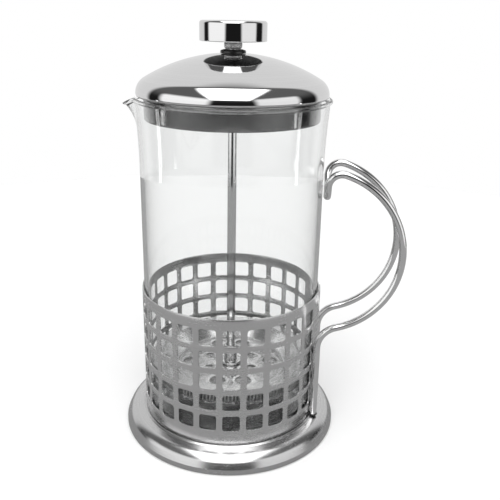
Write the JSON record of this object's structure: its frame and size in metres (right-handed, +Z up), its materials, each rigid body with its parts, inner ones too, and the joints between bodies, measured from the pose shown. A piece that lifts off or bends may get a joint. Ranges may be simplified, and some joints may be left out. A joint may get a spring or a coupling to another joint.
{
  "type": "french press",
  "caption": "French press: glass beaker in a perforated steel frame with a double-wire handle, domed lid and a plunger with a sieve pack.",
  "frame": {"origin": "middle of the flat underside, on the beaker's axis", "axes": "+Z up along the beaker's axis, +X towards the handle, -X towards the spout"},
  "size_m": [0.1368, 0.108, 0.1987],
  "materials": {
    "polished_steel": "mirror polished",
    "satin_steel": "satin",
    "brushed_steel": "brushed round the axis",
    "wire_steel": "bright drawn wire",
    "turned_steel": "turned",
    "mesh_steel": "fine woven wire",
    "core_plastic": "moulded",
    "clear_glass": "clear, fire polished rim"
  },
  "bodies": {
    "stand": {"base_dish": "satin_steel", "bottom_plate": "satin_steel", "sleeve": "satin_steel", "handle_wire": "wire_steel"},
    "beaker": {"glass_beaker": "clear_glass"},
    "lid": {"lid_dome": "polished_steel", "lid_liner": "brushed_steel", "lid_bush": "turned_steel", "bush_washer": "brushed_steel"},
    "rod": {"plunger_rod": "polished_steel"},
    "knob": {"knob_cap": "polished_steel", "knob_core": "core_plastic", "knob_insert": "turned_steel", "knob_neck": "polished_steel"},
    "sieve": {"rod_hub": "turned_steel", "top_plate": "satin_steel", "coil_spring": "mesh_steel", "mesh_filter": "mesh_steel", "cross_plate": "satin_steel", "filter_nut": "turned_steel"}
  },
  "joints": [
    {"name": "beaker_lift", "type": "slide", "parent": "stand", "child": "beaker", "axis": [0, 0, 1], "range_m": [0, 0.14]},
    {"name": "lid_lift", "type": "slide", "parent": "beaker", "child": "lid", "axis": [0, 0, 1], "range_m": [0, 0.15]},
    {"name": "plunger_press", "type": "slide", "parent": "lid", "child": "rod", "axis": [0, 0, 1], "range_m": [0, 0.105]},
    {"name": "knob_turn", "type": "hinge", "parent": "rod", "child": "knob", "pos_m": [0, 0, 0.19], "axis": [0, 0, 1], "continuous": true},
    {"name": "sieve_turn", "type": "hinge", "parent": "rod", "child": "sieve", "pos_m": [0, 0, 0.035], "axis": [0, 0, 1], "continuous": true}
  ]
}
